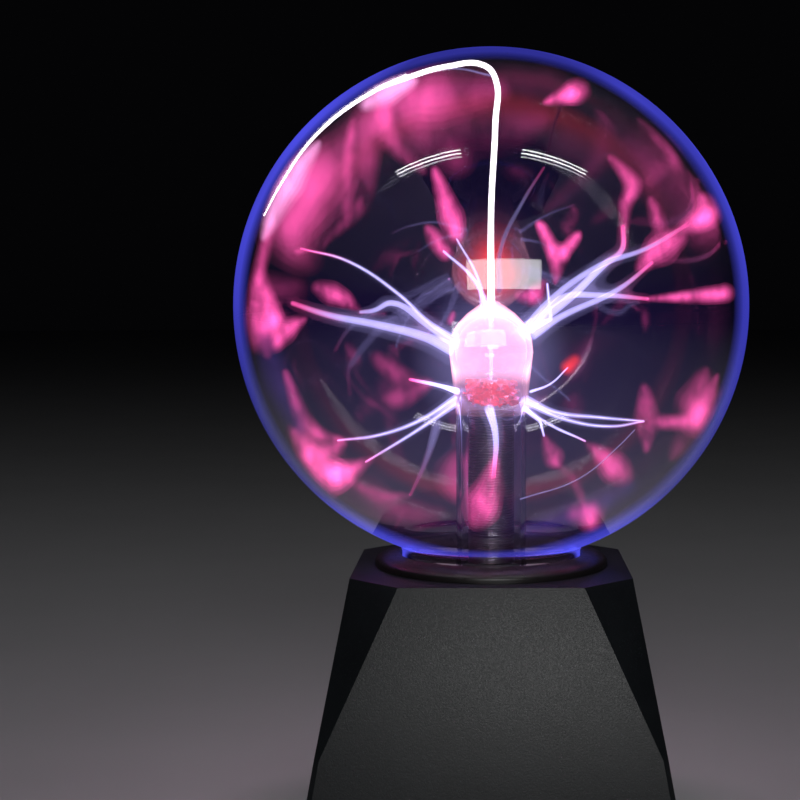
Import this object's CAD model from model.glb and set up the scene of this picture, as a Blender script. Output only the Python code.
import math
import random

import bmesh
import bpy
from mathutils import Matrix, Vector, geometry


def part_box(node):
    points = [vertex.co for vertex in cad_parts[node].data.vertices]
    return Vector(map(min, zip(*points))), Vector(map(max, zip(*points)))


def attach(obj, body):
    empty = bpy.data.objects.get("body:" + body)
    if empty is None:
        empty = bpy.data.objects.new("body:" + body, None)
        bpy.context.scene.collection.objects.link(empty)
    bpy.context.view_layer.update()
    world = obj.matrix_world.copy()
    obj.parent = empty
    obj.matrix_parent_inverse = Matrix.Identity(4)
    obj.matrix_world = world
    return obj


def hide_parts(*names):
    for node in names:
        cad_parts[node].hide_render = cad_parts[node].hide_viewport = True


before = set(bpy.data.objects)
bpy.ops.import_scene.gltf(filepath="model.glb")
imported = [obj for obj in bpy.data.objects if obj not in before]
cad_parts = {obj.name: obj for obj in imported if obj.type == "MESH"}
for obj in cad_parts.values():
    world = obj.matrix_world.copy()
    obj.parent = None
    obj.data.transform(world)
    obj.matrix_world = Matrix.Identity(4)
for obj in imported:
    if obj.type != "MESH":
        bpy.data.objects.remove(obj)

bl_info = {
    "name": "Plasma ball",
    "version": (1, 0, 0),
    "blender": (4, 5, 0),
    "location": "3D View > Sidebar > Plasma ball",
    "description": "Dresses a plasma ball: its glass, its base, the light in its gas and its stage",
    "category": "Object",
}

MM = 0.001
GAS_GAP = 0.15 * MM  # between the light in the gas and the glass
CORE_TURN = 46 * MM, 58 * MM  # from the globe's middle: where a core's light changes its colour
SOFT_TURN = 41 * MM, 56 * MM  # the same for the soft light round it
GLOBE_LOW, GLOBE_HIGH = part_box("glass_globe")
GLOBE_RADIUS = (GLOBE_HIGH.x - GLOBE_LOW.x) / 2
GLOBE_CENTRE = Vector((0, 0, GLOBE_HIGH.z - GLOBE_RADIUS))
STEM_LOW, STEM_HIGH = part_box("electrode_stem")
COLLAR_LOW, COLLAR_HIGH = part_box("neck_cup")
HOUSING_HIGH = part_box("base_housing")[1]
SPRING_LOW, SPRING_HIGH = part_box("contact_spring")
WOOL_LOW, WOOL_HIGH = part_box("conductive_wool")

# A plume is layers of gas inside each other: share of its width, share of its light.
PLUME_LAYERS = (1.3, 0.12), (1.0, 0.22), (0.72, 0.3), (0.44, 0.4)
BUNDLE_GAP = 0.6  # millimetres between the sheaths of one bundle
CAMERA_TILT = 3.85  # degrees below the level
GLOBE_TINT = (0.985, 0.98, 1.0)
STEM_TINT = (0.97, 0.96, 1.0)
RUBBER = (0.02, 0.02, 0.021)
UNSEEN = {"visible_glossy": False, "visible_transmission": False}

# The light in the gas, in millimetres from the globe's middle: to the right, to the back, up.
# A streamer: its kind, its half-width at the bulb and at its end, the places of its sharp corners,
# and its way, which starts at the bulb.
STREAMERS = (
    # the strongest one: up to the crown, over to the left and down along the glass
    ("hot", (0.85, 0.8), (), (
        (0, -3, 0), (0, -6, 24), (1, -9, 44), (1, -10.5, 54), (-1.5, -11, 57), (-11, -12, 56.5),
        (-21, -8.5, 54.5),
    )),
    ("hot", (0.85, 0.2), (), (
        (-20, -8.5, 55), (-28, -9, 51.5), (-42, -9, 41), (-50, -9, 30), (-54.5, -9, 22),
    )),
    ("thread", (0.3, 0.3), (), ((0, -20, 53), (-8, -22, 54), (-20, -19, 52.5))),
    # to the left, from the highest to the lowest
    ("clear", (0.7, 0.35), (), (
        (-9, -4, -7.5), (-15, -7, -3.5), (-21.5, -15, 3), (-32, -28, 10.5), (-41, -41, 13),
    )),
    ("wide", (1.1, 0.55), (), (
        (-9, 2, -9), (-16, 10, -4.5), (-26, 22, 1), (-31, 27, -1), (-35, 30, -1.5),
    )),
    ("wide", (1.45, 0.7), (), (
        (-9, 0, -10.5), (-16, 4, -7.5), (-29, 13, -4.5), (-43, 21, -2), (-53, 26, 1),
    )),
    ("clear", (0.7, 0.35), (), ((-8, -3, -20.5), (-11.5, -22, -18), (-17, -55, -14.5))),
    ("clear", (0.75, 0.4), (), (
        (-8.5, -2, -22), (-17, -9, -27), (-26.5, -15, -30), (-35.5, -22, -30.5),
    )),
    ("clear", (0.75, 0.4), (), ((-8.5, 0, -23.5), (-18, 6, -30.5), (-32.5, 14, -40))),
    ("faint", (1.2, 0.6), (), ((-13.5, 12, -29), (-17, 18, -40), (-21.5, 23, -50))),
    # down in front of the stem
    ("wide", (1.0, 0.5), (), ((-0.5, -10, -24), (1, -24, -29), (0.5, -47, -36))),
    # to the right, from the lowest to the highest
    ("clear", (0.85, 0.4), (), (
        (8.5, 0, -22.5), (15.5, -3, -25.5), (26, -7, -26.5), (36.5, -12, -27),
    )),
    ("clear", (0.75, 0.4), (), ((8.5, 2, -23.5), (18.5, 5, -28), (30, 7, -30), (39, 10, -29))),
    ("clear", (0.6, 0.3), (), ((8, 0, -24.5), (12, -6, -27), (21, -34, -29.5))),
    ("clear", (0.55, 0.3), (1,), ((8, -4, -24.5), (11.5, -18, -26.5), (12, -28, -29))),
    ("clear", (0.35, 0.2), (), ((9.5, -4, -20.5), (13.5, -23, -17.5), (16.5, -45.5, -12.5))),
    ("wide", (1.2, 0.6), (), ((9, 4, -6), (17.5, 14, 2), (28.5, 26, 3), (43, 40, 2))),
    ("wide", (1.1, 0.55), (), ((10, 4, -7), (17.5, 11.5, -2.5), (33.5, 27, 4.5), (44, 38, 12))),
    ("wide", (1.0, 0.5), (), (
        (8.5, 0, -5.5), (13.5, -6, 1), (25.5, -19, 10), (35, -28, 13.5), (43, -36, 18.5),
    )),
    ("wide", (1.3, 0.65), (), (
        (9, 4, -5), (19, 14, 1.5), (30.5, 30, 11.5), (35, 34, 15), (36, 41, 22),
    )),
    ("clear", (0.8, 0.4), (1,), ((8, -4, -6), (15, 8, -3), (14.5, 20, 6))),
    ("faint", (0.9, 0.45), (), ((2, 6, 4), (2.5, 18, 15), (8.5, 32, 28), (14.5, 43, 38))),
    # up beside the strongest one
    ("clear", (0.6, 0.3), (), ((-2, -2, 0), (-3, -8, 6.5), (-8, -20, 16))),
    ("clear", (0.75, 0.4), (), ((-1, 2, 0), (-4, 10, 6.5), (-12.5, 24, 14.5))),
    # a stray one low on the right, close to the glass
    ("thread", (0.22, 0.2), (), (
        (6.5, -30, -43), (19.5, -33, -38), (28, -36, -30.5), (31.5, -38, -26.5),
    )),
)
# A plume or veil: its kind, and its way with a half-width at each place.
PLUMES = (
    # where streamers to the left end
    ("plume", (0.6, 1), ((-39.5, -40, 12.5), (-42.5, -36, 12.5))),
    ("plume", (0.7, 2.4, 3, 2), (
        (-34.5, 30, -1.5), (-39.5, 32, 2), (-43, 33, 3.5), (-46.5, 33, 5),
    )),
    ("plume", (0.8, 3.2, 2.2), ((-49, 26, -3), (-54, 16, -6.5), (-55.5, 11, -9.5))),
    ("plume", (2.6, 3.2, 1.6), ((-54.5, 17, -6.5), (-56.5, 11, -2), (-56.5, -4, 9))),
    ("dim", (0.8, 2.2, 2.2, 1.6), (
        (-12, -33, -17), (-18, -40, -15.5), (-22.5, -47, -12), (-24.5, -51, -10),
    )),
    ("dim", (1.6, 2.6, 1.6), ((-14, -38, -16.5), (-19.5, -46, -19), (-22, -49, -19))),
    ("plume", (0.9, 2, 1), ((-34, -22, -30.5), (-41, -30, -26.5), (-46, -31, -14))),
    ("plume", (1.2, 3.2, 1.2), ((-34, -22, -31), (-39.5, -25, -33), (-45.5, -20, -28.5))),
    ("plume", (0.9, 3, 4.4, 3), (
        (-30.5, 14, -39), (-37, 8, -42), (-39.5, -6, -41), (-44, -9, -36),
    )),
    ("dim", (1.2, 2.8, 1.4), ((-39, -9, -41), (-45, -9, -34.5), (-48.5, -9, -29))),
    ("dim", (1, 2.2, 1.4), ((-21.5, 20, -49.5), (-29, 11, -48.5), (-37, 7, -43.5))),
    # low, in front of the stem and beside it
    ("plume", (1, 3, 3.9, 2.2), (
        (1, -43, -32.5), (-0.5, -38, -39.5), (-2, -35, -43.5), (-3, -33, -47),
    )),
    ("cloud", (2.4, 5.5, 2.4), ((-7.5, 20, -38.5), (-9, 20, -44.5), (-8, 20, -50))),
    ("dim", (0.7, 1.1, 0.7), ((-8, -8, -23), (-8.5, -11, -28), (-9, -14, -33))),
    # where streamers to the right end, from the lowest to the highest
    ("dim", (0.9, 1.6, 1.2, 3, 2), (
        (14, -30, -34.5), (18.5, -31, -38.5), (21, -30, -44.5), (23, -20, -49), (24, -9, -51.5),
    )),
    ("plume", (0.6, 2.4, 1.2), ((12, -28, -28.5), (14, -29, -33.5), (14.5, -30, -35))),
    ("plume", (0.7, 2.4, 3.4, 2.2), (
        (20.5, -34, -29.5), (25.5, -33, -33.5), (27.5, -33, -35.5), (29.5, -33, -37),
    )),
    ("cloud", (3.2, 2.8, 1.2), ((49.5, -9, -27.5), (46, -9, -33), (43.5, -9, -36.5))),
    ("plume", (1.2, 2.8, 1.1), ((36.5, -12, -18.5), (37, -12, -26), (37, -12, -34))),
    ("plume", (1.7, 2.2, 2.8, 0.8), (
        (36.5, -12, -27), (48, -9, -27.5), (51, -9, -25), (54.5, -9, -16),
    )),
    ("dim", (3.4, 5.6, 1.4), ((49.5, -9, -27.5), (51.5, -1, -24.5), (54, 6, -16))),
    ("ember", (1.7, 1.5), ((16.5, -45.5, -12.5), (18, -45.5, -11))),
    ("plume", (0.9, 2.1, 2.2), ((42.5, 39, 2), (54, 4, 3), (56.5, -8, 3.5))),
    ("plume", (1.2, 4.2, 1.6), ((39, 30, 10), (45, 26, 15.5), (50, 21, 18))),
    ("plume", (1.6, 2.4, 1.2), ((46.5, 30, 16), (44, 28, 24), (42, 27, 28.5))),
    ("plume", (1.4, 2.2, 3.4, 1.4), (
        (39.5, -33, 16), (45.5, -25, 19), (52, -9, 23), (50.5, -9, 26.5),
    )),
    ("plume", (1, 2, 2.6, 1.2), ((36, 37, 15.5), (36, 33, 27), (37.5, 29, 32.5), (31.5, 28, 39.5))),
    # the forked one behind the bulb, on the right
    ("plume", (0.8, 2.8), ((16.5, 20, 6), (17.5, 22, 13))),
    ("plume", (2.2, 1.7, 0.9), ((17, 22, 12.5), (14, 45, 21.5), (13, 51, 23))),
    ("plume", (2.2, 1.7, 0.9), ((17.5, 22, 12.5), (23, 42, 18.5), (24.5, 48, 20.5))),
    # round the top of the bulb
    ("plume", (1.8, 2.8, 1), ((-8, -20, 16), (-9, -29, 20.5), (-12, -48, 29.5))),
    ("plume", (2.2, 2.6, 1.2), ((-12, 24, 14), (-14, 26, 17), (-17, 30, 21))),
    ("plume", (1.6, 2.8, 1.6), ((7, 12, 3), (11, 14, 3), (13.5, 16, 6))),
    ("plume", (1.3, 1), ((-10, 4, -3.5), (-9.5, 6, -1.5))),
    # beside the strongest streamer, along the glass
    ("blaze", (1.6, 3.4, 2), ((-18.5, -8.5, 54), (-25, -8.5, 51.5), (-30, -8.5, 48.5))),
    ("blaze", (1, 3.8, 1.2), ((-41, -8.5, 39.5), (-48.5, -8.5, 30), (-54.5, -9, 16.5))),
    ("veil", (3, 6.4, 6.6, 3), ((2, -23, 49.5), (-12, -21, 48.5), (-22, -7, 49.5), (-34, -16, 39))),
    ("veil", (4, 8.5, 5), ((-32, -7.5, 41), (-42.5, -7.5, 30), (-48.5, -7.5, 19))),
    ("veildim", (4.5, 7.5, 6.5, 3), (
        (-24, -7, 46.5), (-10, 20, 48), (2, 25, 46.5), (13.5, 18, 48),
    )),
    ("veildim", (6, 8, 4), ((-40, -7, 33.5), (-43, -20, 23), (-44, -25, 14))),
    ("veildim", (5, 8, 3), ((-40, -8, 33), (-48, -7, 19.5), (-47, 20, 11.5))),
    ("veildim", (6, 8.5, 4), ((-21.5, -6, 45.5), (-14, 23, 43.5), (-8.5, 32, 38.5))),
    ("dim", (2.6, 3, 2.6, 0.7), (
        (-24.5, -8, 50), (-27, -28, 38), (-29, -34, 24), (-36.5, -40, 13.5),
    )),
    ("dim", (1.8, 2.6, 1.2), ((-25.5, -8, 49.5), (-22, -36, 37), (-14.5, -42, 29.5))),
    ("dim", (1.4, 2, 1), ((-33, -8, 44.5), (-31.5, -36, 28.5), (-31, -43, 18))),
    # down the left side, along the glass
    ("plume", (1.6, 2, 0.8), ((-52.5, -9, 20.5), (-56.5, -9, 4), (-56, -9, -8.5))),
    ("dim", (2.4, 3.6, 1.4), ((-55, -10, 3), (-55.5, -8, -4), (-54, -8, -11.5))),
    ("dim", (2, 3.2, 2), ((-55, -8, -5.5), (-50.5, -24, -3), (-47, -30, -2))),
    ("blueveil", (2.4, 4.4, 2.6), ((-54.5, -8, -5), (-51.5, -9, -18), (-46, -9, -29))),
    ("veildim", (3, 5.5, 2.4), ((-45.5, -8, -29), (-36, -9, -40), (-23.5, -9, -48.5))),
    ("veildim", (2.4, 4, 2), ((-44.5, -9, -31.5), (-38, -9, -38), (-32, -8, -43.5))),
    ("veildim", (2.4, 4.6, 2.4), ((-32.5, -9, -44), (-20.5, 1, -51.5), (-13, 12, -52.5))),
    # across the crown and down the right side, along the glass
    ("veildim", (3, 4, 1.4), ((2, -8, 55), (14.5, -8, 53.5), (26, -8, 48.5))),
    ("plume", (3, 2.3, 0.9), ((20.5, -8, 51.5), (18, 5, 52.5), (13.5, 15, 52))),
    ("veilfaint", (4, 5, 2), ((5.5, -19, 51), (11, -22, 48.5), (19, -27, 43))),
    ("veilfaint", (4.5, 6, 3), ((25, -7, 46.5), (35, -7, 39.5), (43.5, -4, 30.5))),
    ("veilfaint", (5.5, 7.5, 5), ((17.5, 22, 43), (32, 9, 39), (42.5, 2, 29))),
    ("veilfaint", (3.6, 4.4, 2.4), ((33.5, -8, 43), (43, -8, 33.5), (49, -8, 24))),
    ("dim", (1, 1.5, 0.8), ((38, -8, 41.5), (44.5, -8, 34.5), (49.5, -8, 27))),
    ("dim", (1.2, 2.2, 1.2), ((46.5, -8, 32), (50, -8, 25), (53, -8, 19.5))),
    ("veilfaint", (3, 3.6, 1.8), ((54, -8, 3.5), (54, -8, -5.5), (52.5, -8, -14))),
    ("blueveil", (2.4, 4, 2.4), ((33.5, -9, -43), (22, -9, -49.5), (9, -8, -54))),
    ("dim", (2.4, 2.6), ((19.5, -22, -47.5), (25.5, -9, -49))),
    # a dull red disc of light behind the bulb, near the back of the globe
    ("ghost", (6, 6, 6, 6, 6), (
        (-0.5, 50, 13), (3, 50, 9), (-0.5, 50, 5.5), (-4, 50, 9), (-0.5, 50, 13),
    )),
)

# ------------------------------------------------------------------------------- settings


def length(name, description, default):
    """A property for a length in metres."""
    return bpy.props.FloatProperty(
        name=name, description=description, default=default, unit="LENGTH", precision=4
    )


def colour(name, description, default):
    """A property for a colour."""
    return bpy.props.FloatVectorProperty(
        name=name,
        description=description,
        default=default,
        size=3,
        subtype="COLOR",
        min=0,
        max=1,
    )


class PlasmaBallSizes(bpy.types.PropertyGroup):
    """Sizes of the glass, the fittings and the stage."""

    globe_wall: length("Globe wall", "Thickness of the globe's glass", 0.002)
    neck_radius: length("Neck radius", "Outer radius of the globe's neck", 0.022)
    neck_fillet: length("Neck fillet", "Radius where the globe runs into its neck", 0.0025)
    stem_wall: length("Stem wall", "Thickness of the stem's glass", 0.0012)
    tube_radius: length("Tube radius", "Outer radius of the stem's tube", 0.0087)
    bulb_radius: length("Bulb radius", "Outer radius of the stem's bulb", 0.0101)
    bulb_fillet: length("Bulb fillet", "Radius where the bulb runs into the tube", 0.006)
    spring_wire: length("Spring wire", "Radius of the contact spring's wire", 0.0003)
    spring_pitch: length("Spring pitch", "Rise of one turn of the contact spring", 0.00066)
    shred_size: length("Wool shred", "Length of one crumpled shred of metal wool", 0.0034)
    edge_round: length("Housing edges", "Width of the rounding on the housing's edges", 0.0007)
    floor_radius: length("Floor radius", "Radius of the stage's floor", 6.0)
    camera_distance: length("Camera distance", "From the ball's axis to the camera", 0.386)
    camera_height: length("Camera height", "Height of the camera over the table", 0.1415)


class PlasmaBallColours(bpy.types.PropertyGroup):
    """Colours of the light and of the mouldings."""

    hot: colour("Hot light", "Light of the strongest streamer", (1.0, 0.9, 1.0))
    lavender: colour("Lavender light", "Streamers on their way through the gas", (0.5, 0.44, 1.0))
    pink: colour("Pink light", "Light where a streamer nears the glass", (1.0, 0.1, 0.4))
    blaze: colour("Blaze", "Light beside the strongest streamer, at the glass", (1.0, 0.4, 0.8))
    ember: colour("Ember light", "The small red spot and the dull red disc", (1.0, 0.035, 0.02))
    haze: colour("Gas haze", "Faint light of the whole gas", (0.26, 0.15, 1.0))
    bulb: colour("Bulb light", "Light of the gas round the bulb", (1.0, 0.42, 0.55))
    edge: colour("Glass edge", "Light at the edge of the globe's glass", (0.075, 0.078, 0.82))
    housing: colour("Housing", "Plastic of the base housing", (0.008, 0.0098, 0.0112))
    collar: colour("Collar", "Plastic of the neck collar", (0.011, 0.009, 0.009))
    floor: colour("Floor", "The stage's floor", (0.45, 0.455, 0.47))


def sizes():
    """The sizes that the scene holds."""
    return bpy.context.scene.plasma_ball_sizes


def colours():
    """The colours that the scene holds."""
    return bpy.context.scene.plasma_ball_colours


# ------------------------------------------------------------------------------- materials


def new_finish(name):
    """An empty node material and its tree."""
    finish = bpy.data.materials.new(name)
    finish.use_nodes = True
    finish.node_tree.nodes.clear()
    return finish, finish.node_tree


def add(tree, kind, settings=None, **inputs):
    """Adds a shader node. An input is named with _ for each space, or _0, _1 by its place."""
    node = tree.nodes.new("ShaderNode" + kind)
    for key, value in (settings or {}).items():
        setattr(node, key, value)
    for key, value in inputs.items():
        place = key[1:]
        socket = node.inputs[int(place) if place.isdigit() else key.replace("_", " ")]
        if isinstance(value, bpy.types.NodeSocket):
            tree.links.new(value, socket)
        elif socket.type == "RGBA" and len(value) == 3:
            socket.default_value = (*value, 1)
        else:
            socket.default_value = value
    return node


def output(tree, surface, volume=None):
    """Ends a material in a surface and, for a gas, in what fills it."""
    node = add(tree, "OutputMaterial")
    tree.links.new(surface, node.inputs["Surface"])
    if volume:
        tree.links.new(volume, node.inputs["Volume"])


def object_place(tree, scale=(1, 1, 1)):
    """Object coordinates, stretched by scale."""
    place = add(tree, "TexCoord").outputs["Object"]
    return add(tree, "Mapping", _0=place, Scale=scale).outputs[0]


def from_point(tree, point):
    """How far a place lies from a point, in metres."""
    place = add(tree, "TexCoord").outputs["Object"]
    away = add(tree, "VectorMath", {"operation": "DISTANCE"}, _0=place, _1=tuple(point))
    return away.outputs["Value"]


def level(tree):
    """How high a place lies over the table, in metres."""
    return add(tree, "SeparateXYZ", _0=object_place(tree)).outputs["Z"]


def reckon(tree, operation, first, second):
    """A sum, product or other result of two values."""
    return add(tree, "Math", {"operation": operation}, _0=first, _1=second).outputs[0]


def speckle(tree, place, scale, detail=4.0, roughness=0.6):
    """A cloudy pattern of noise."""
    return add(
        tree, "TexNoise", Vector=place, Scale=scale, Detail=detail, Roughness=roughness
    ).outputs["Fac"]


def remap(tree, value, low, high, to_low=0.0, to_high=1.0):
    """A value's range from low to high, drawn out to another range and kept in it."""
    return add(
        tree, "MapRange", Value=value, From_Min=low, From_Max=high, To_Min=to_low, To_Max=to_high
    ).outputs[0]


def blend_colours(tree, factor, first, second):
    """The first colour where the factor is 0, the second where it is 1."""
    mix = tree.nodes.new("ShaderNodeMix")
    mix.data_type = "RGBA"
    for place, value in ((0, factor), (6, first), (7, second)):
        if isinstance(value, bpy.types.NodeSocket):
            tree.links.new(value, mix.inputs[place])
        else:
            mix.inputs[place].default_value = (*value, 1) if place else value
    return mix.outputs[2]


def see_through(tree):
    """A surface that light passes straight through."""
    return add(tree, "BsdfTransparent", Color=(1, 1, 1)).outputs[0]


def moulded(name, base, rough=0.5, grain=900.0, depth=0.1, flecks=None, **principled):
    """Moulded plastic or rubber: eroded grain, uneven gloss, and pale flecks where given."""
    finish, tree = new_finish(name)
    place = object_place(tree)
    cloud = speckle(tree, place, 70.0)
    fine = speckle(tree, place, grain, 3.0, 0.7)
    shade = blend_colours(
        tree,
        remap(tree, cloud, 0.35, 0.65),
        [c * 0.82 for c in base],
        [min(1, c * 1.18) for c in base],
    )
    if flecks:
        spots = remap(tree, speckle(tree, place, 3400.0, 1.0, 0.4), 0.66, 0.76)
        shade = blend_colours(tree, spots, shade, flecks)
    gloss = remap(tree, fine, 0.3, 0.7, rough - 0.08, rough + 0.1)
    bump = add(tree, "Bump", Strength=depth, Distance=0.0002, Height=fine).outputs[0]
    shader = add(
        tree, "BsdfPrincipled", Base_Color=shade, Roughness=gloss, Normal=bump, **principled
    )
    output(tree, shader.outputs[0])
    return finish


def metal(name, base, rough=0.3, stretch=(1, 1, 1), grain=900.0, depth=0.06):
    """Metal with fine tool marks, drawn out along the axis where stretch is small."""
    finish, tree = new_finish(name)
    place = object_place(tree, stretch)
    marks = speckle(tree, place, grain, 5.0, 0.65)
    stain = speckle(tree, object_place(tree), 120.0)
    shade = blend_colours(
        tree, remap(tree, stain, 0.35, 0.7), [c * 0.75 for c in base], base
    )
    gloss = remap(tree, marks, 0.3, 0.7, max(0.05, rough - 0.1), rough + 0.14)
    bump = add(tree, "Bump", Strength=depth, Distance=0.0001, Height=marks).outputs[0]
    shader = add(
        tree,
        "BsdfPrincipled",
        Base_Color=shade,
        Metallic=1.0,
        Roughness=gloss,
        Normal=bump,
    )
    output(tree, shader.outputs[0])
    return finish


def clear_glass(name, tint, edge_light=None):
    """Blown glass. Lamps and soft light pass straight through it, and its edge can glow."""
    finish, tree = new_finish(name)
    place = object_place(tree, (1, 1, 0.6))
    sway = speckle(tree, place, 26.0, 1.5, 0.5)
    bump = add(tree, "Bump", Strength=0.03, Distance=0.002, Height=sway).outputs[0]
    dust = remap(tree, speckle(tree, place, 2400.0, 1.0), 0.72, 0.8, 0.0, 0.05)
    glass = add(tree, "BsdfGlass", Color=tint, Roughness=0.0, IOR=1.47, Normal=bump)
    bloom = add(tree, "BsdfDiffuse", Color=(0.8, 0.8, 0.85))
    dusty = add(tree, "MixShader", _0=dust, _1=glass.outputs[0], _2=bloom.outputs[0])
    shown = dusty.outputs[0]
    if edge_light:
        facing = add(tree, "LayerWeight", Blend=0.5).outputs["Facing"]
        wander = remap(tree, speckle(tree, place, 9.0, 1.0), 0.3, 0.7, -0.05, 0.05)
        band = remap(tree, reckon(tree, "ADD", facing, wander), 0.66, 0.80)
        patch = remap(tree, speckle(tree, place, 13.0, 2.0, 0.6), 0.38, 0.62, 0.35, 1.0)
        height = level(tree)
        fall = remap(tree, height, GLOBE_CENTRE.z - 0.03, GLOBE_CENTRE.z + 0.045, 0.35, 1.0)
        foot = remap(tree, height, HOUSING_HIGH.z + 0.006, HOUSING_HIGH.z + 0.02, 0.6, 0.0)
        lit = reckon(tree, "ADD", reckon(tree, "MULTIPLY", fall, patch), foot)
        power = reckon(tree, "MULTIPLY", band, lit)
        glow = add(tree, "Emission", Color=edge_light, Strength=power).outputs[0]
        shown = add(tree, "AddShader", _0=shown, _1=glow).outputs[0]
    path = add(tree, "LightPath")
    shadow, diffuse = path.outputs["Is Shadow Ray"], path.outputs["Is Diffuse Ray"]
    passing = reckon(tree, "MAXIMUM", shadow, diffuse)
    clear = see_through(tree)
    both = add(tree, "MixShader", _0=passing, _1=shown, _2=clear).outputs[0]
    output(tree, both)
    return finish


def gas_colour(tree, near, far, start, end):
    """A colour that turns from near to far as the gas comes closer to the glass."""
    away = from_point(tree, GLOBE_CENTRE)
    return blend_colours(tree, remap(tree, away, start, end), near, far)


def gas_light(finish, tree, shade, strength):
    """Fills a material with gas that gives light and hides nothing."""
    glow = add(tree, "Emission", Color=shade, Strength=strength).outputs[0]
    output(tree, see_through(tree), glow)
    finish.cycles.emission_sampling = "NONE"


def core_light(name, near, far, power, cover):
    """The core of a streamer, which gives light and covers what is behind it by its cover."""
    finish, tree = new_finish(name)
    flicker = remap(tree, speckle(tree, object_place(tree), 300.0, 2.0), 0.3, 0.7, 0.8, 1.2)
    strength = reckon(tree, "MULTIPLY", flicker, power)
    shade = gas_colour(tree, near, far, *CORE_TURN)
    glow = add(tree, "Emission", Color=shade, Strength=strength).outputs[0]
    if cover < 1:
        glow = add(tree, "MixShader", _0=cover, _1=see_through(tree), _2=glow).outputs[0]
    output(tree, glow)
    return finish


def soft_light(name, near, far, power, cloud=0.0, size=90.0):
    """Light given off evenly through a body of gas, or in patches where cloud is above nothing."""
    finish, tree = new_finish(name)
    shade = gas_colour(tree, near, far, *SOFT_TURN)
    strength = power
    if cloud:
        patch = speckle(tree, object_place(tree, (1, 1, 0.55)), size, 3.5, 0.6)
        strength = remap(tree, patch, 0.36, 0.62, power * (1 - cloud), power * (1 + cloud))
    gas_light(finish, tree, shade, strength)
    finish.cycles.volume_step_rate = 0.4
    return finish


# ------------------------------------------------------------------------------- shaping


class Outline:
    """A line of points in the XZ plane, which is then turned about the Z axis."""

    def __init__(self, x, z):
        self.mesh = bmesh.new()
        self.end = self.mesh.verts.new((x, 0, z))

    def line(self, x, z):
        """Goes on straight to a point."""
        made = bmesh.ops.extrude_vert_indiv(self.mesh, verts=[self.end])
        self.end = made["verts"][0]
        self.end.co = (x, 0, z)
        return self

    def arc(self, x, z, degrees, steps):
        """Goes on round a point."""
        made = bmesh.ops.spin(
            self.mesh,
            geom=[self.end],
            cent=(x, 0, z),
            axis=(0, 1, 0),
            angle=math.radians(degrees),
            steps=steps,
        )
        self.end = next(v for v in made["geom_last"] if isinstance(v, bmesh.types.BMVert))
        return self

    def turn(self, steps):
        """The body that the line makes when it is turned about the axis."""
        bmesh.ops.spin(
            self.mesh,
            geom=self.mesh.verts[:] + self.mesh.edges[:],
            cent=(0, 0, 0),
            axis=(0, 0, 1),
            angle=math.tau,
            steps=steps,
            use_merge=True,
        )
        tidy(self.mesh)
        return self.mesh


def tidy(mesh, reach=1e-6):
    """Merges doubled points and turns the faces outwards."""
    bmesh.ops.remove_doubles(mesh, verts=mesh.verts[:], dist=reach)
    bmesh.ops.dissolve_degenerate(mesh, edges=mesh.edges[:], dist=1e-7)
    bmesh.ops.recalc_face_normals(mesh, faces=mesh.faces[:])


def piece(name, mesh, finish, stands_for=(), body="base", crease=30):
    """Makes a mesh into a finished piece that rides on a body."""
    data = bpy.data.meshes.new(name)
    mesh.to_mesh(data)
    mesh.free()
    data.polygons.foreach_set("use_smooth", [True] * len(data.polygons))
    data.set_sharp_from_angle(angle=math.radians(crease))
    data.materials.append(finish)
    made = bpy.data.objects.new(name, data)
    bpy.context.scene.collection.objects.link(made)
    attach(made, body)
    if stands_for:
        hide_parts(*stands_for)
    return made


def copy_of(node):
    """A merged copy of a CAD node's mesh, its flat faces made whole."""
    mesh = bmesh.new()
    mesh.from_mesh(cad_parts[node].data)
    bmesh.ops.remove_doubles(mesh, verts=mesh.verts[:], dist=2e-6)
    bmesh.ops.dissolve_limit(
        mesh,
        angle_limit=math.radians(1.0),
        verts=mesh.verts[:],
        edges=mesh.edges[:],
    )
    return mesh


def soften(mesh, width, shortest=0.0, segments=3, sharpest=14):
    """Rounds the outer edges that are longer than shortest."""
    edges = [
        e
        for e in mesh.edges
        if e.is_manifold
        and e.is_convex
        and e.calc_length() > shortest
        and e.calc_face_angle() > math.radians(sharpest)
    ]
    bmesh.ops.bevel(
        mesh,
        geom=edges,
        offset=width,
        offset_type="OFFSET",
        segments=segments,
        profile=0.5,
        affect="EDGES",
        clamp_overlap=True,
        material=-1,
    )
    bmesh.ops.recalc_face_normals(mesh, faces=mesh.faces[:])


def kept_inside(mesh, limit):
    """Draws in the points that lie further than limit from the globe's middle."""
    for vert in mesh.verts:
        away = vert.co - GLOBE_CENTRE
        if away.length > limit:
            vert.co = GLOBE_CENTRE + away * (limit / away.length)


def settled(data, grain=None):
    """What a curve or a mesh comes out as, melted into one body where grain is given."""
    holder = bpy.data.objects.new("settled", data)
    bpy.context.scene.collection.objects.link(holder)
    if grain:
        melt = holder.modifiers.new("Melt", "REMESH")
        melt.mode = "VOXEL"
        melt.voxel_size = grain * MM
    shaped = holder.evaluated_get(bpy.context.evaluated_depsgraph_get())
    result = bpy.data.meshes.new_from_object(shaped)
    body = bmesh.new()
    body.from_mesh(result)
    bpy.data.objects.remove(holder)
    bpy.data.meshes.remove(result)
    return body


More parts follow.
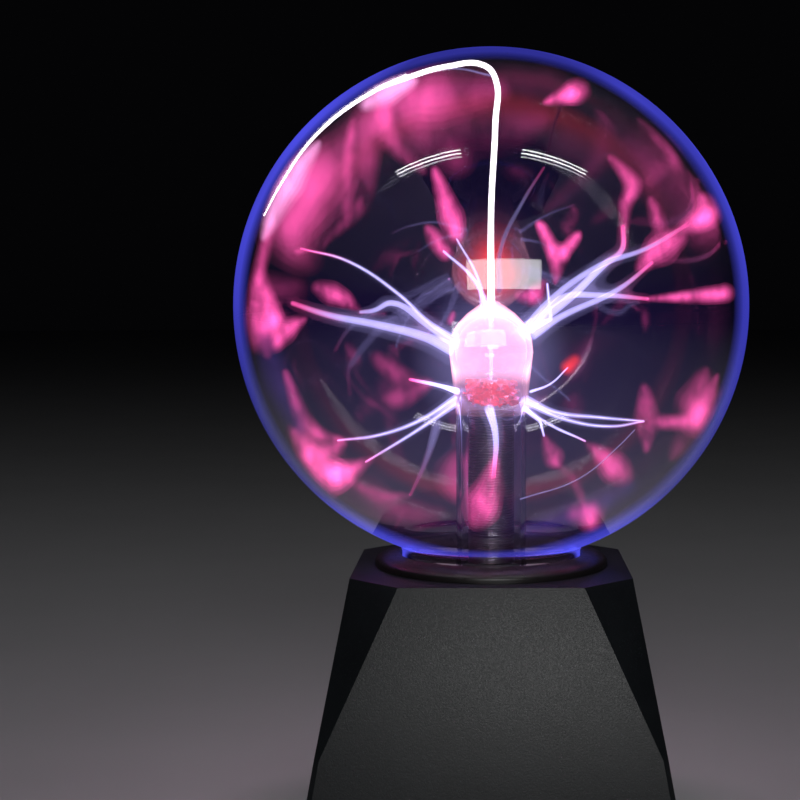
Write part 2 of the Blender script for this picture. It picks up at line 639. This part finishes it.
def course(points, radii, corners, sides, limit):
    """A closed tube along a course in millimetres, kept within limit of the globe's middle."""
    curve = bpy.data.curves.new("course", "CURVE")
    curve.dimensions = "3D"
    curve.resolution_u = 6
    curve.bevel_depth = 1.0
    curve.bevel_resolution = sides // 4 - 1
    curve.use_fill_caps = True
    spline = curve.splines.new("BEZIER")
    spline.bezier_points.add(len(points) - 1)
    for place, (knot, point, radius) in enumerate(zip(spline.bezier_points, points, radii)):
        knot.co = GLOBE_CENTRE + Vector(point) * MM
        knot.radius = radius * MM
        kind = "VECTOR" if place in corners else "AUTO"
        knot.handle_left_type = kind
        knot.handle_right_type = kind
    tube = settled(curve)
    bpy.data.curves.remove(curve)
    tidy(tube, 1e-7)
    kept_inside(tube, limit)
    return tube


def beads(points, radii):
    """Places and radii close together along a smooth line through the points."""
    knots = [Vector(point) for point in points]
    knots = [knots[0], *knots, knots[-1]]
    for place in range(len(points) - 1):
        before, start, end, after = knots[place : place + 4]
        first, last = radii[place : place + 2]
        out, back = (end - before) / 2, (start - after) / 2
        handles = start, start + out / 3, end + back / 3, end
        count = max(2, math.ceil((end - start).length / (0.45 * min(first, last))))
        line = geometry.interpolate_bezier(*handles, count + 1)
        for step, bead in enumerate(line[:-1]):
            yield bead, first + (last - first) * step / count
    yield knots[-1], radii[-1]


def tapered(widths, count):
    """Half-widths that go evenly from the first to the last."""
    first, last = widths
    return [first + (last - first) * step / (count - 1) for step in range(count)]


def bundled(streamers):
    """The streamers of each kind, in bundles whose sheaths stay clear of each other."""
    lines, bundles = {}, {}
    for kind, widths, corners, points in streamers:
        line = [bead for bead, _ in beads(points, [2.5] * len(points))]
        number = 0
        while any(
            (bead - other).length < max(widths) + width + BUNDLE_GAP
            for held, width in lines.get((kind, number), ())
            for bead in line
            for other in held
        ):
            number += 1
        lines.setdefault((kind, number), []).append((line, max(widths)))
        bundles.setdefault("%s_%d" % (kind, number), []).append((widths, corners, points))
    return bundles


def melted(members, share, grain, limit):
    """One closed body of gas along several courses: balls along them, melted into each other."""
    strings = []
    for radii, points in members:
        string = bmesh.new()
        swell = max(share, 1)
        for bead, radius in beads(points, [radius * swell for radius in radii]):
            bmesh.ops.create_icosphere(
                string,
                subdivisions=2,
                radius=radius * share / swell * MM,
                matrix=Matrix.Translation(GLOBE_CENTRE + bead * MM),
            )
        strings.append(string)
    balls = gather(strings)
    data = bpy.data.meshes.new("balls")
    balls.to_mesh(data)
    balls.free()
    body = settled(data, grain)
    bpy.data.meshes.remove(data)
    for _ in range(6):
        bmesh.ops.smooth_vert(
            body, verts=body.verts[:], factor=0.5, use_axis_x=True, use_axis_y=True, use_axis_z=True
        )
    kept_inside(body, limit)
    return body


def gather(parts):
    """One mesh out of several."""
    whole = bmesh.new()
    for part in parts:
        data = bpy.data.meshes.new("part")
        part.to_mesh(data)
        part.free()
        whole.from_mesh(data)
        bpy.data.meshes.remove(data)
    return whole


# ------------------------------------------------------------------------------- operators


class PLASMA_OT_globe(bpy.types.Operator):
    """Blow the glass globe and its neck in one wall."""

    bl_idname = "plasma_ball.globe"
    bl_label = "Glass globe"

    def execute(self, context):
        size = sizes()
        wall, neck, fillet = size.globe_wall, size.neck_radius, size.neck_fillet
        centre, foot = GLOBE_CENTRE.z, GLOBE_LOW.z
        reach = neck + fillet
        drop = math.sqrt((GLOBE_RADIUS + fillet) ** 2 - reach**2)
        joint = math.degrees(math.atan2(drop, reach))
        line = Outline(0, centre + GLOBE_RADIUS).arc(0, centre, 90, 40).arc(0, centre, joint, 30)
        line.arc(reach, centre - drop, -joint, 8)
        line.line(neck, foot).line(neck - wall, foot).line(neck - wall, centre - drop)
        line.arc(reach, centre - drop, joint, 8)
        line.arc(0, centre, -joint, 30).arc(0, centre, -90, 40)
        glass = clear_glass("globe_glass_blown", GLOBE_TINT, colours().edge)
        inner = clear_glass("globe_glass_inner", GLOBE_TINT)
        made = piece("globe", line.turn(128), glass, ["glass_globe"])
        made.data.materials.append(inner)
        for face in made.data.polygons:
            away = face.center - GLOBE_CENTRE
            inwards = face.normal.dot(away) < 0
            face.material_index = 1 if inwards else 0
        return {"FINISHED"}


class PLASMA_OT_stem(bpy.types.Operator):
    """Draw the electrode stem with its bulb and flared foot, and the sealed pumping tip."""

    bl_idname = "plasma_ball.stem"
    bl_label = "Electrode stem"

    def execute(self, context):
        size = sizes()
        wall, tube = size.stem_wall, size.tube_radius
        bulb, fillet = size.bulb_radius, size.bulb_fillet
        centre = STEM_HIGH.z - bulb
        reach = tube + fillet
        drop = math.sqrt((bulb + fillet) ** 2 - reach**2)
        joint = math.degrees(math.atan2(drop, reach))
        flare = STEM_HIGH.x - tube
        rise = STEM_LOW.z + wall + flare
        line = Outline(0, STEM_HIGH.z).arc(0, centre, 90, 16).arc(0, centre, joint, 10)
        line.arc(reach, centre - drop, -joint, 8).line(tube, rise)
        line.arc(tube + flare, rise, -90, 14).line(tube + flare, STEM_LOW.z)
        line.arc(tube + flare, rise, 90, 14).line(tube - wall, centre - drop)
        line.arc(reach, centre - drop, joint, 8)
        line.arc(0, centre, -joint, 10).arc(0, centre, -90, 16)
        glass = clear_glass("stem_glass_drawn", STEM_TINT)
        piece("stem", line.turn(64), glass, ["electrode_stem"])
        tip = copy_of("exhaust_tip")
        piece("pumping_tip", tip, glass, ["exhaust_tip"], crease=50)
        return {"FINISHED"}


class PLASMA_OT_wool(bpy.types.Operator):
    """Crumple shreds of metal wool into the bulb's end of the stem."""

    bl_idname = "plasma_ball.wool"
    bl_label = "Conductive wool"

    def execute(self, context):
        draw = random.Random(11)
        size = sizes().shred_size
        middle = (WOOL_LOW + WOOL_HIGH) / 2
        room = WOOL_HIGH.x - size * 0.4
        half = (WOOL_HIGH.z - WOOL_LOW.z) / 2 - size * 0.35
        shreds = []
        for _ in range(200):
            shred = bmesh.new()
            bmesh.ops.create_grid(shred, x_segments=3, y_segments=2, size=size / 2)
            bmesh.ops.scale(shred, verts=shred.verts[:], vec=(1, 0.42, 1))
            for vert in shred.verts:
                vert.co.z += draw.uniform(-0.2, 0.2) * size
                vert.co.x += draw.uniform(-0.08, 0.08) * size
            turn = Matrix.Rotation(draw.uniform(0, math.tau), 3, "X")
            turn = Matrix.Rotation(draw.uniform(0, math.tau), 3, "Z") @ turn
            bmesh.ops.rotate(shred, verts=shred.verts[:], matrix=turn)
            away = room * math.sqrt(draw.uniform(0.25, 1))
            around = draw.uniform(0, math.tau)
            place = middle + Vector(
                (away * math.cos(around), away * math.sin(around), draw.uniform(-half, half))
            )
            bmesh.ops.translate(shred, verts=shred.verts[:], vec=place)
            bmesh.ops.solidify(shred, geom=shred.faces[:], thickness=0.00006)
            shreds.append(shred)
        whole = gather(shreds)
        core = bmesh.new()
        bmesh.ops.create_cone(
            core,
            cap_ends=True,
            segments=20,
            radius1=room * 0.6,
            radius2=room * 0.5,
            depth=half * 1.7,
            matrix=Matrix.Translation(middle),
        )
        whole = gather([whole, core])
        finish = metal("wool_shreds", (1.0, 0.42, 0.5), 0.16, grain=2200.0, depth=0.3)
        shader = next(n for n in finish.node_tree.nodes if n.type == "BSDF_PRINCIPLED")
        shader.inputs["Emission Color"].default_value = (1.0, 0.09, 0.15, 1)
        shader.inputs["Emission Strength"].default_value = 0.22
        piece("wool", whole, finish, ["conductive_wool"], crease=20)
        return {"FINISHED"}


class PLASMA_OT_spring(bpy.types.Operator):
    """Wind the contact spring that feeds the wool."""

    bl_idname = "plasma_ball.spring"
    bl_label = "Contact spring"

    def execute(self, context):
        size = sizes()
        wire, pitch = size.spring_wire, size.spring_pitch
        reach = SPRING_HIGH.x - wire
        low, high = SPRING_LOW.z + wire, SPRING_HIGH.z - wire
        turns = (high - low) / pitch
        coil = bmesh.new()
        bmesh.ops.create_circle(
            coil,
            cap_ends=False,
            segments=6,
            radius=wire,
            matrix=Matrix.Translation((reach, 0, low)) @ Matrix.Rotation(math.pi / 2, 4, "X"),
        )
        steps = round(turns * 20)
        bmesh.ops.spin(
            coil,
            geom=coil.verts[:] + coil.edges[:],
            cent=(0, 0, 0),
            axis=(0, 0, 1),
            dvec=(0, 0, (high - low) / steps),
            angle=math.tau * turns,
            steps=steps,
        )
        bmesh.ops.holes_fill(coil, edges=[e for e in coil.edges if e.is_boundary], sides=6)
        tidy(coil)
        finish = metal("spring_wire", (0.16, 0.13, 0.15), 0.36, grain=1500.0)
        piece("spring", coil, finish, ["contact_spring"], crease=60)
        return {"FINISHED"}


class PLASMA_OT_collar(bpy.types.Operator):
    """Turn the neck collar and the cup below it."""

    bl_idname = "plasma_ball.collar"
    bl_label = "Neck collar"

    def execute(self, context):
        cup = copy_of("neck_cup")
        top = HOUSING_HIGH.z
        lip = sizes().neck_radius + 0.0005
        bore = sizes().neck_radius + 0.0022
        rim, crown = COLLAR_HIGH.x, COLLAR_HIGH.z
        ledge = [v.co for v in cup.verts if v.co.z < top - 0.008]
        ledge_bore = min(math.hypot(c.x, c.y) for c in ledge)
        socket = max(math.hypot(c.x, c.y) for c in ledge)
        cup.free()
        seat = COLLAR_LOW.z + 0.0018
        line = Outline(lip, top - 0.0025).line(bore, top - 0.0025).line(bore, seat)
        line.line(ledge_bore, seat).line(ledge_bore, COLLAR_LOW.z)
        line.line(socket, COLLAR_LOW.z).line(socket, top).line(rim - 0.0001, top)
        line.line(rim, top + 0.0001).line(rim, top + 0.0008)
        round_wide, round_high = 0.005, crown - top - 0.0008
        for step in range(1, 13):
            turn = math.radians(90 * step / 12)
            line.line(
                rim - round_wide * (1 - math.cos(turn)),
                top + 0.0008 + round_high * math.sin(turn),
            )
        line.line(lip + 0.0003, crown).line(lip, crown - 0.0003).line(lip, top - 0.0025)
        cup = line.turn(128)
        finish = moulded(
            "collar_moulding",
            colours().collar,
            0.34,
            grain=700.0,
            depth=0.05,
            Specular_IOR_Level=0.55,
        )
        piece("collar", cup, finish, ["neck_cup"], crease=25)
        return {"FINISHED"}


class PLASMA_OT_base(bpy.types.Operator):
    """Round the edges of the base housing, its cover and its feet."""

    bl_idname = "plasma_ball.base"
    bl_label = "Base housing"

    def execute(self, context):
        finish = moulded(
            "housing_moulding",
            colours().housing,
            0.36,
            grain=2600.0,
            depth=0.22,
            flecks=(0.03, 0.037, 0.044),
            Specular_IOR_Level=0.4,
        )
        shell = copy_of("base_housing")
        soften(shell, sizes().edge_round, 0.008)
        piece("housing", shell, finish, ["base_housing"], crease=25)
        rubber = moulded("foot_rubber", RUBBER, 0.75, grain=500.0, depth=0.3)
        for side in ("front_left", "front_right", "rear_left", "rear_right"):
            foot = copy_of("foot_" + side)
            soften(foot, 0.0005, segments=2, sharpest=40)
            piece("foot_pad_" + side, foot, rubber, ["foot_" + side], crease=35)
        return {"FINISHED"}


class PLASMA_OT_fittings(bpy.types.Operator):
    """Dress the parts that keep their shape: screws, socket, switch and all inside the base."""

    bl_idname = "plasma_ball.fittings"
    bl_label = "Fittings"

    def execute(self, context):
        finishes = {
            "globe_glass": clear_glass("globe_glass_plain", GLOBE_TINT),
            "stem_glass": clear_glass("stem_glass_plain", STEM_TINT),
            "housing_plastic": moulded("housing_plain", colours().housing, 0.42, depth=0.3),
            "collar_plastic": moulded("collar_plain", colours().collar, 0.34, depth=0.05),
            "cover_plastic": moulded("cover_moulding", (0.012, 0.012, 0.013), 0.55, 800.0, 0.4),
            "black_plastic": moulded("black_moulding", (0.013, 0.013, 0.014), 0.36, 1300.0, 0.1),
            "rubber": moulded("rubber_moulding", RUBBER, 0.75, 500.0, 0.3),
            "silicone": moulded("silicone_bond", (0.5, 0.5, 0.48), 0.4, 300.0, 0.1),
            "foam": moulded("foam_ring", (0.05, 0.05, 0.055), 0.9, 600.0, 0.8),
            "steel": metal("screw_steel", (0.42, 0.42, 0.43), 0.32),
            "spring_steel": metal("spring_steel_plain", (0.5, 0.47, 0.46), 0.3),
            "metal_wool": metal("wool_plain", (0.8, 0.7, 0.7), 0.3),
            "aluminium": metal("heatsink_aluminium", (0.72, 0.73, 0.74), 0.34, (1, 1, 0.05)),
            "nickel": metal("plated_nickel", (0.66, 0.62, 0.56), 0.2),
            "laminate": moulded("board_laminate", (0.03, 0.16, 0.07), 0.38, 1800.0, 0.15),
            "ferrite": moulded("core_ferrite", (0.05, 0.048, 0.046), 0.62, 900.0, 0.3),
            "potting": moulded("coil_potting", (0.02, 0.02, 0.03), 0.28, 250.0, 0.2),
            "red_plastic": moulded("red_moulding", (0.42, 0.02, 0.015), 0.4, 700.0, 0.1),
            "black_sleeve": moulded("black_sleeving", (0.014, 0.014, 0.014), 0.45, 900.0, 0.15),
            "blue_sleeve": moulded("blue_sleeving", (0.015, 0.03, 0.2), 0.35, 600.0, 0.1),
            "resistor_coat": moulded("resistor_lacquer", (0.42, 0.3, 0.16), 0.5, 900.0, 0.2),
        }
        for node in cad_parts.values():
            for slot in node.material_slots:
                slot.material = finishes[slot.material.name.split(".")[0]]
        return {"FINISHED"}


class PLASMA_OT_glow(bpy.types.Operator):
    """Light the gas round the bulb and the faint haze that fills the globe."""

    bl_idname = "plasma_ball.glow"
    bl_label = "Bulb glow and haze"

    def execute(self, context):
        bulb = sizes().bulb_radius
        shade = colours()
        middle = STEM_HIGH.z - bulb
        wall = sizes().stem_wall + 0.0001
        skin = 0.0003
        top = STEM_HIGH.z
        line = Outline(0, top + 0.0030)
        for x, z in (
            (0.0009, top + 0.0026),
            (0.0020, top + 0.0020),
            (0.0037, top + 0.0009),
            (0.0060, top - 0.0008),
            (0.0079, top - 0.0028),
            (0.0092, middle + 0.0056),
            (bulb + skin - 0.0003, middle + 0.0028),
            (bulb + skin, middle - 0.0002),
            (bulb + skin - 0.0004, middle - 0.0036),
            (bulb - 0.0005, middle - 0.0072),
            (bulb - 0.0008, middle - 0.0106),
            (bulb - 0.0010, middle - 0.0135),
            (bulb - 0.0014, middle - 0.0155),
            (bulb - 0.0026, middle - 0.0155),
            (bulb - 0.0024, middle - 0.0105),
            (bulb - 0.0021, middle - 0.0070),
            (bulb - wall - 0.0003, middle - 0.0030),
            (bulb - wall, middle),
        ):
            line.line(x, z)
        line.arc(0, middle, -80, 10).line(0, middle + bulb - wall)
        shell = line.turn(48)
        light, tree = new_finish("bulb_light")
        low, high = WOOL_HIGH.z - 0.0022, WOOL_HIGH.z + 0.0012
        gas_light(light, tree, shade.bulb, remap(tree, level(tree), low, high, 75.0, 360.0))
        piece("bulb_glow", shell, light, crease=80)
        halo_middle = Vector((0, 0, middle - 0.002))
        middle_gas = bmesh.new()
        bmesh.ops.create_uvsphere(
            middle_gas,
            u_segments=32,
            v_segments=20,
            radius=0.021,
            matrix=Matrix.Translation(halo_middle),
        )
        halo, tree = new_finish("halo_light")
        away = from_point(tree, halo_middle)
        gas_light(halo, tree, shade.lavender, remap(tree, away, 0.010, 0.0205, 10.0, 0.0))
        piece("bulb_halo", middle_gas, halo, crease=80)
        gas = bmesh.new()
        bmesh.ops.create_uvsphere(
            gas,
            u_segments=48,
            v_segments=32,
            radius=GLOBE_RADIUS - sizes().globe_wall - 0.0002,
            matrix=Matrix.Translation(GLOBE_CENTRE),
        )
        bmesh.ops.bisect_plane(
            gas,
            geom=gas.verts[:] + gas.edges[:] + gas.faces[:],
            plane_co=(0, 0, GLOBE_CENTRE.z - 0.0555),
            plane_no=(0, 0, -1),
            clear_outer=True,
        )
        bmesh.ops.holes_fill(gas, edges=[e for e in gas.edges if e.is_boundary])
        tidy(gas)
        haze, tree = new_finish("gas_haze")
        low, high = HOUSING_HIGH.z, GLOBE_CENTRE.z + 0.01
        gas_light(haze, tree, shade.haze, remap(tree, level(tree), low, high, 0.75, 0.17))
        piece("haze", gas, haze, crease=80)
        return {"FINISHED"}


class PLASMA_OT_streamers(bpy.types.Operator):
    """Draw the streamers from the bulb to the glass, each a thin core in a soft sheath."""

    bl_idname = "plasma_ball.streamers"
    bl_label = "Streamers"

    def execute(self, context):
        shade = colours()
        limit = GLOBE_RADIUS - sizes().globe_wall - GAS_GAP
        # for each kind: core's share of the width, core's light and cover, sheath's light
        kinds = {
            "hot": (0.72, 6.0, 1.0, 700.0),
            "clear": (0.34, 1.8, 0.9, 620.0),
            "wide": (0.5, 0.85, 0.36, 420.0),
            "faint": (0.5, 0.3, 0.25, 80.0),
            "thread": (0.4, 0.5, 0.5, 300.0),
        }
        glowing = [
            (tapered(widths, len(points)), points)
            for kind, widths, _, points in STREAMERS
            if kind in ("clear", "wide")
        ]
        mists = (3.2, 16.0), (2.0, 38.0)  # share of the streamer's width, light
        for layer, (share, power) in enumerate(mists):
            mist = soft_light("mist_light_%d" % layer, shade.lavender, shade.pink, power)
            body = melted(glowing, share, 1.0, limit)
            piece("streamer_mist_%d" % layer, body, mist, crease=80)
        for bundle, members in bundled(STREAMERS).items():
            kind = bundle.split("_")[0]
            share, power, cover, sheath_power = kinds[kind]
            near = shade.hot if kind == "hot" else shade.lavender
            far = {"hot": shade.hot, "thread": shade.lavender}.get(kind, shade.pink)
            cores, sheaths = [], []
            for widths, corners, points in members:
                wide = tapered(widths, len(points))
                wide[0] *= 1.25  # where it leaves the bulb
                thin = [width * share for width in wide]
                cores.append(course(points, thin, corners, 8, limit))
                sheaths.append(course(points, wide, corners, 16, limit))
            core = core_light("core_light_" + bundle, near, far, power, cover)
            sheath = soft_light("sheath_light_" + bundle, near, far, sheath_power)
            piece("streamer_cores_" + bundle, gather(cores), core, crease=60)
            piece("streamer_sheaths_" + bundle, gather(sheaths), sheath, crease=60)
        return {"FINISHED"}


class PLASMA_OT_plumes(bpy.types.Operator):
    """Spread the pink plumes and the broad glows along the glass."""

    bl_idname = "plasma_ball.plumes"
    bl_label = "Plumes"

    def execute(self, context):
        shade = colours()
        limit = GLOBE_RADIUS - sizes().globe_wall - GAS_GAP
        # for each kind: light, patchiness, patch size, finest detail and colour
        kinds = {
            "plume": (185.0, 0.75, 230.0, 0.56, shade.pink),
            "dim": (62.0, 0.8, 230.0, 0.62, shade.pink),
            "cloud": (55.0, 0.6, 110.0, 0.8, shade.pink),
            "blaze": (380.0, 0.5, 90.0, 0.7, shade.blaze),
            "veil": (52.0, 0.85, 75.0, 1.0, shade.pink),
            "veildim": (13.0, 0.9, 75.0, 1.0, shade.pink),
            "veilfaint": (2.6, 0.9, 75.0, 1.0, shade.pink),
            "blueveil": (26.0, 0.6, 60.0, 1.0, shade.haze),
            "ghost": (85.0, 0.3, 60.0, 0.8, shade.ember),
            "ember": (420.0, 0.2, 300.0, 0.4, shade.ember),
        }
        groups = {}
        for kind, radii, points in PLUMES:
            groups.setdefault(kind, []).append((radii, points))
        for kind, members in groups.items():
            power, cloud, size, grain, tone = kinds[kind]
            for layer, (share, part) in enumerate(PLUME_LAYERS):
                name = "%s_%d" % (kind, layer)
                light = soft_light("light_" + name, tone, tone, power * part, cloud, size)
                body = melted(members, share, grain * (1 - 0.15 * layer), limit)
                piece("gas_" + name, body, light, crease=80)
        return {"FINISHED"}


def lamp(name, kind, place, aim, power, tint=(1, 1, 1), **settings):
    """A lamp at a place, turned to its aim. What starts with visible is set on its object."""
    data = bpy.data.lights.new(name, kind)
    data.energy = power
    data.color = tint
    shown = {k: settings.pop(k) for k in list(settings) if k.startswith("visible")}
    for key, value in settings.items():
        setattr(data, key, value)
    made = bpy.data.objects.new(name, data)
    bpy.context.scene.collection.objects.link(made)
    made.location = place
    made.rotation_euler = (Vector(aim) - Vector(place)).to_track_quat("-Z", "Y").to_euler()
    for key, value in shown.items():
        setattr(made, key, value)
    return made


def floor_paint():
    """Matt pale paint, barely uneven."""
    finish, tree = new_finish("floor_paint")
    tone = colours().floor
    cloud = remap(tree, speckle(tree, object_place(tree), 9.0), 0.3, 0.7)
    shade = blend_colours(tree, cloud, [c * 0.97 for c in tone], [c * 1.03 for c in tone])
    fine = speckle(tree, object_place(tree), 700.0, 2.0)
    bump = add(tree, "Bump", Strength=0.05, Distance=0.0002, Height=fine).outputs[0]
    paint = add(tree, "BsdfPrincipled", Base_Color=shade, Roughness=0.7, Normal=bump)
    output(tree, paint.outputs[0])
    return finish


class PLASMA_OT_stage(bpy.types.Operator):
    """Lay the pale floor, hang the lamps and set up the camera."""

    bl_idname = "plasma_ball.stage"
    bl_label = "Stage"

    def execute(self, context):
        scene = context.scene
        size = sizes()
        floor = bmesh.new()
        bmesh.ops.create_circle(floor, cap_ends=True, segments=128, radius=size.floor_radius)
        data = bpy.data.meshes.new("floor")
        floor.to_mesh(data)
        floor.free()
        data.materials.append(floor_paint())
        ground = bpy.data.objects.new("floor", data)
        scene.collection.objects.link(ground)
        world = bpy.data.worlds.new("dusk")
        scene.world = world
        world.use_nodes = True
        sky = world.node_tree.nodes["Background"].inputs
        sky["Color"].default_value = (0.5, 0.5, 0.62, 1)
        sky["Strength"].default_value = 0.0025
        middle = GLOBE_CENTRE.z
        lamp(
            "front_softbox",
            "AREA",
            (0.11, -1.16, 0.43),
            (0, 0, 0.05),
            3.3,
            shape="RECTANGLE",
            size=0.65,
            size_y=0.26,
        )
        for name, cone, power in (("pool_lamp", 38, 2.3), ("wide_pool_lamp", 100, 0.95)):
            lamp(
                name,
                "SPOT",
                (0.0, -0.06, 0.95),
                (0, -0.06, 0),
                power,
                spot_size=math.radians(cone),
                spot_blend=1.0,
                shadow_soft_size=0.16,
                visible_camera=False,
                **UNSEEN,
            )
        for side in (-1, 1):
            for row in (0, 1):
                place = (side * 0.36, -0.31 - 0.03 * row, middle + 0.8)
                strip = lamp(
                    "strip_%d_%d" % (side, row),
                    "AREA",
                    place,
                    (place[0], place[1], 0),
                    0.32,
                    shape="RECTANGLE",
                    size=0.408,
                    size_y=0.012,
                )
                strip.rotation_euler = (0, 0, 0)
        lamp(
            "rear_lamp",
            "SPOT",
            (-0.32, 1.0, 0.34),
            (0, 0.05, 0.028),
            14.0,
            spot_size=math.radians(9),
            spot_blend=1.0,
            shadow_soft_size=0.06,
            **UNSEEN,
        )
        lamp(
            "bulb_lamp",
            "POINT",
            (0, 0, STEM_HIGH.z + 0.004),
            (0, 0, 0),
            0.1,
            (1.0, 0.42, 0.75),
            shadow_soft_size=0.012,
            visible_camera=False,
            **UNSEEN,
        )
        data = bpy.data.cameras.new("camera")
        data.lens = 70.65
        data.sensor_width = 36
        data.shift_x = -0.114
        data.clip_start, data.clip_end = 0.01, 20
        camera = bpy.data.objects.new("camera", data)
        scene.collection.objects.link(camera)
        camera.location = (0, -size.camera_distance, size.camera_height)
        camera.rotation_euler = (math.radians(90 - CAMERA_TILT), 0, 0)
        scene.camera = camera
        scene.view_settings.view_transform = "Standard"
        scene.cycles.transparent_max_bounces = 40
        return {"FINISHED"}


STEPS = (
    PLASMA_OT_globe,
    PLASMA_OT_stem,
    PLASMA_OT_wool,
    PLASMA_OT_spring,
    PLASMA_OT_collar,
    PLASMA_OT_base,
    PLASMA_OT_fittings,
    PLASMA_OT_glow,
    PLASMA_OT_streamers,
    PLASMA_OT_plumes,
    PLASMA_OT_stage,
)


class PLASMA_PT_steps(bpy.types.Panel):
    """The steps that dress the plasma ball, in their order."""

    bl_idname = "PLASMA_PT_steps"
    bl_label = "Plasma ball"
    bl_space_type = "VIEW_3D"
    bl_region_type = "UI"
    bl_category = "Plasma ball"

    def draw(self, context):
        for step in STEPS:
            self.layout.operator(step.bl_idname)
        for group in (context.scene.plasma_ball_sizes, context.scene.plasma_ball_colours):
            for name in group.bl_rna.properties.keys():
                if name not in ("name", "rna_type"):
                    self.layout.prop(group, name)


CLASSES = (PlasmaBallSizes, PlasmaBallColours, *STEPS, PLASMA_PT_steps)


def register():
    """Makes the steps, their settings and the panel known."""
    for kind in CLASSES:
        bpy.utils.register_class(kind)
    bpy.types.Scene.plasma_ball_sizes = bpy.props.PointerProperty(type=PlasmaBallSizes)
    bpy.types.Scene.plasma_ball_colours = bpy.props.PointerProperty(type=PlasmaBallColours)


def unregister():
    """Takes back what register did."""
    del bpy.types.Scene.plasma_ball_colours
    del bpy.types.Scene.plasma_ball_sizes
    for kind in reversed(CLASSES):
        bpy.utils.unregister_class(kind)


def main():
    """Takes every step in its order."""
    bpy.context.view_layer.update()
    register()
    for step in STEPS:
        group, name = step.bl_idname.split(".")
        getattr(getattr(bpy.ops, group), name)()


if __name__ == "__main__":
    main()
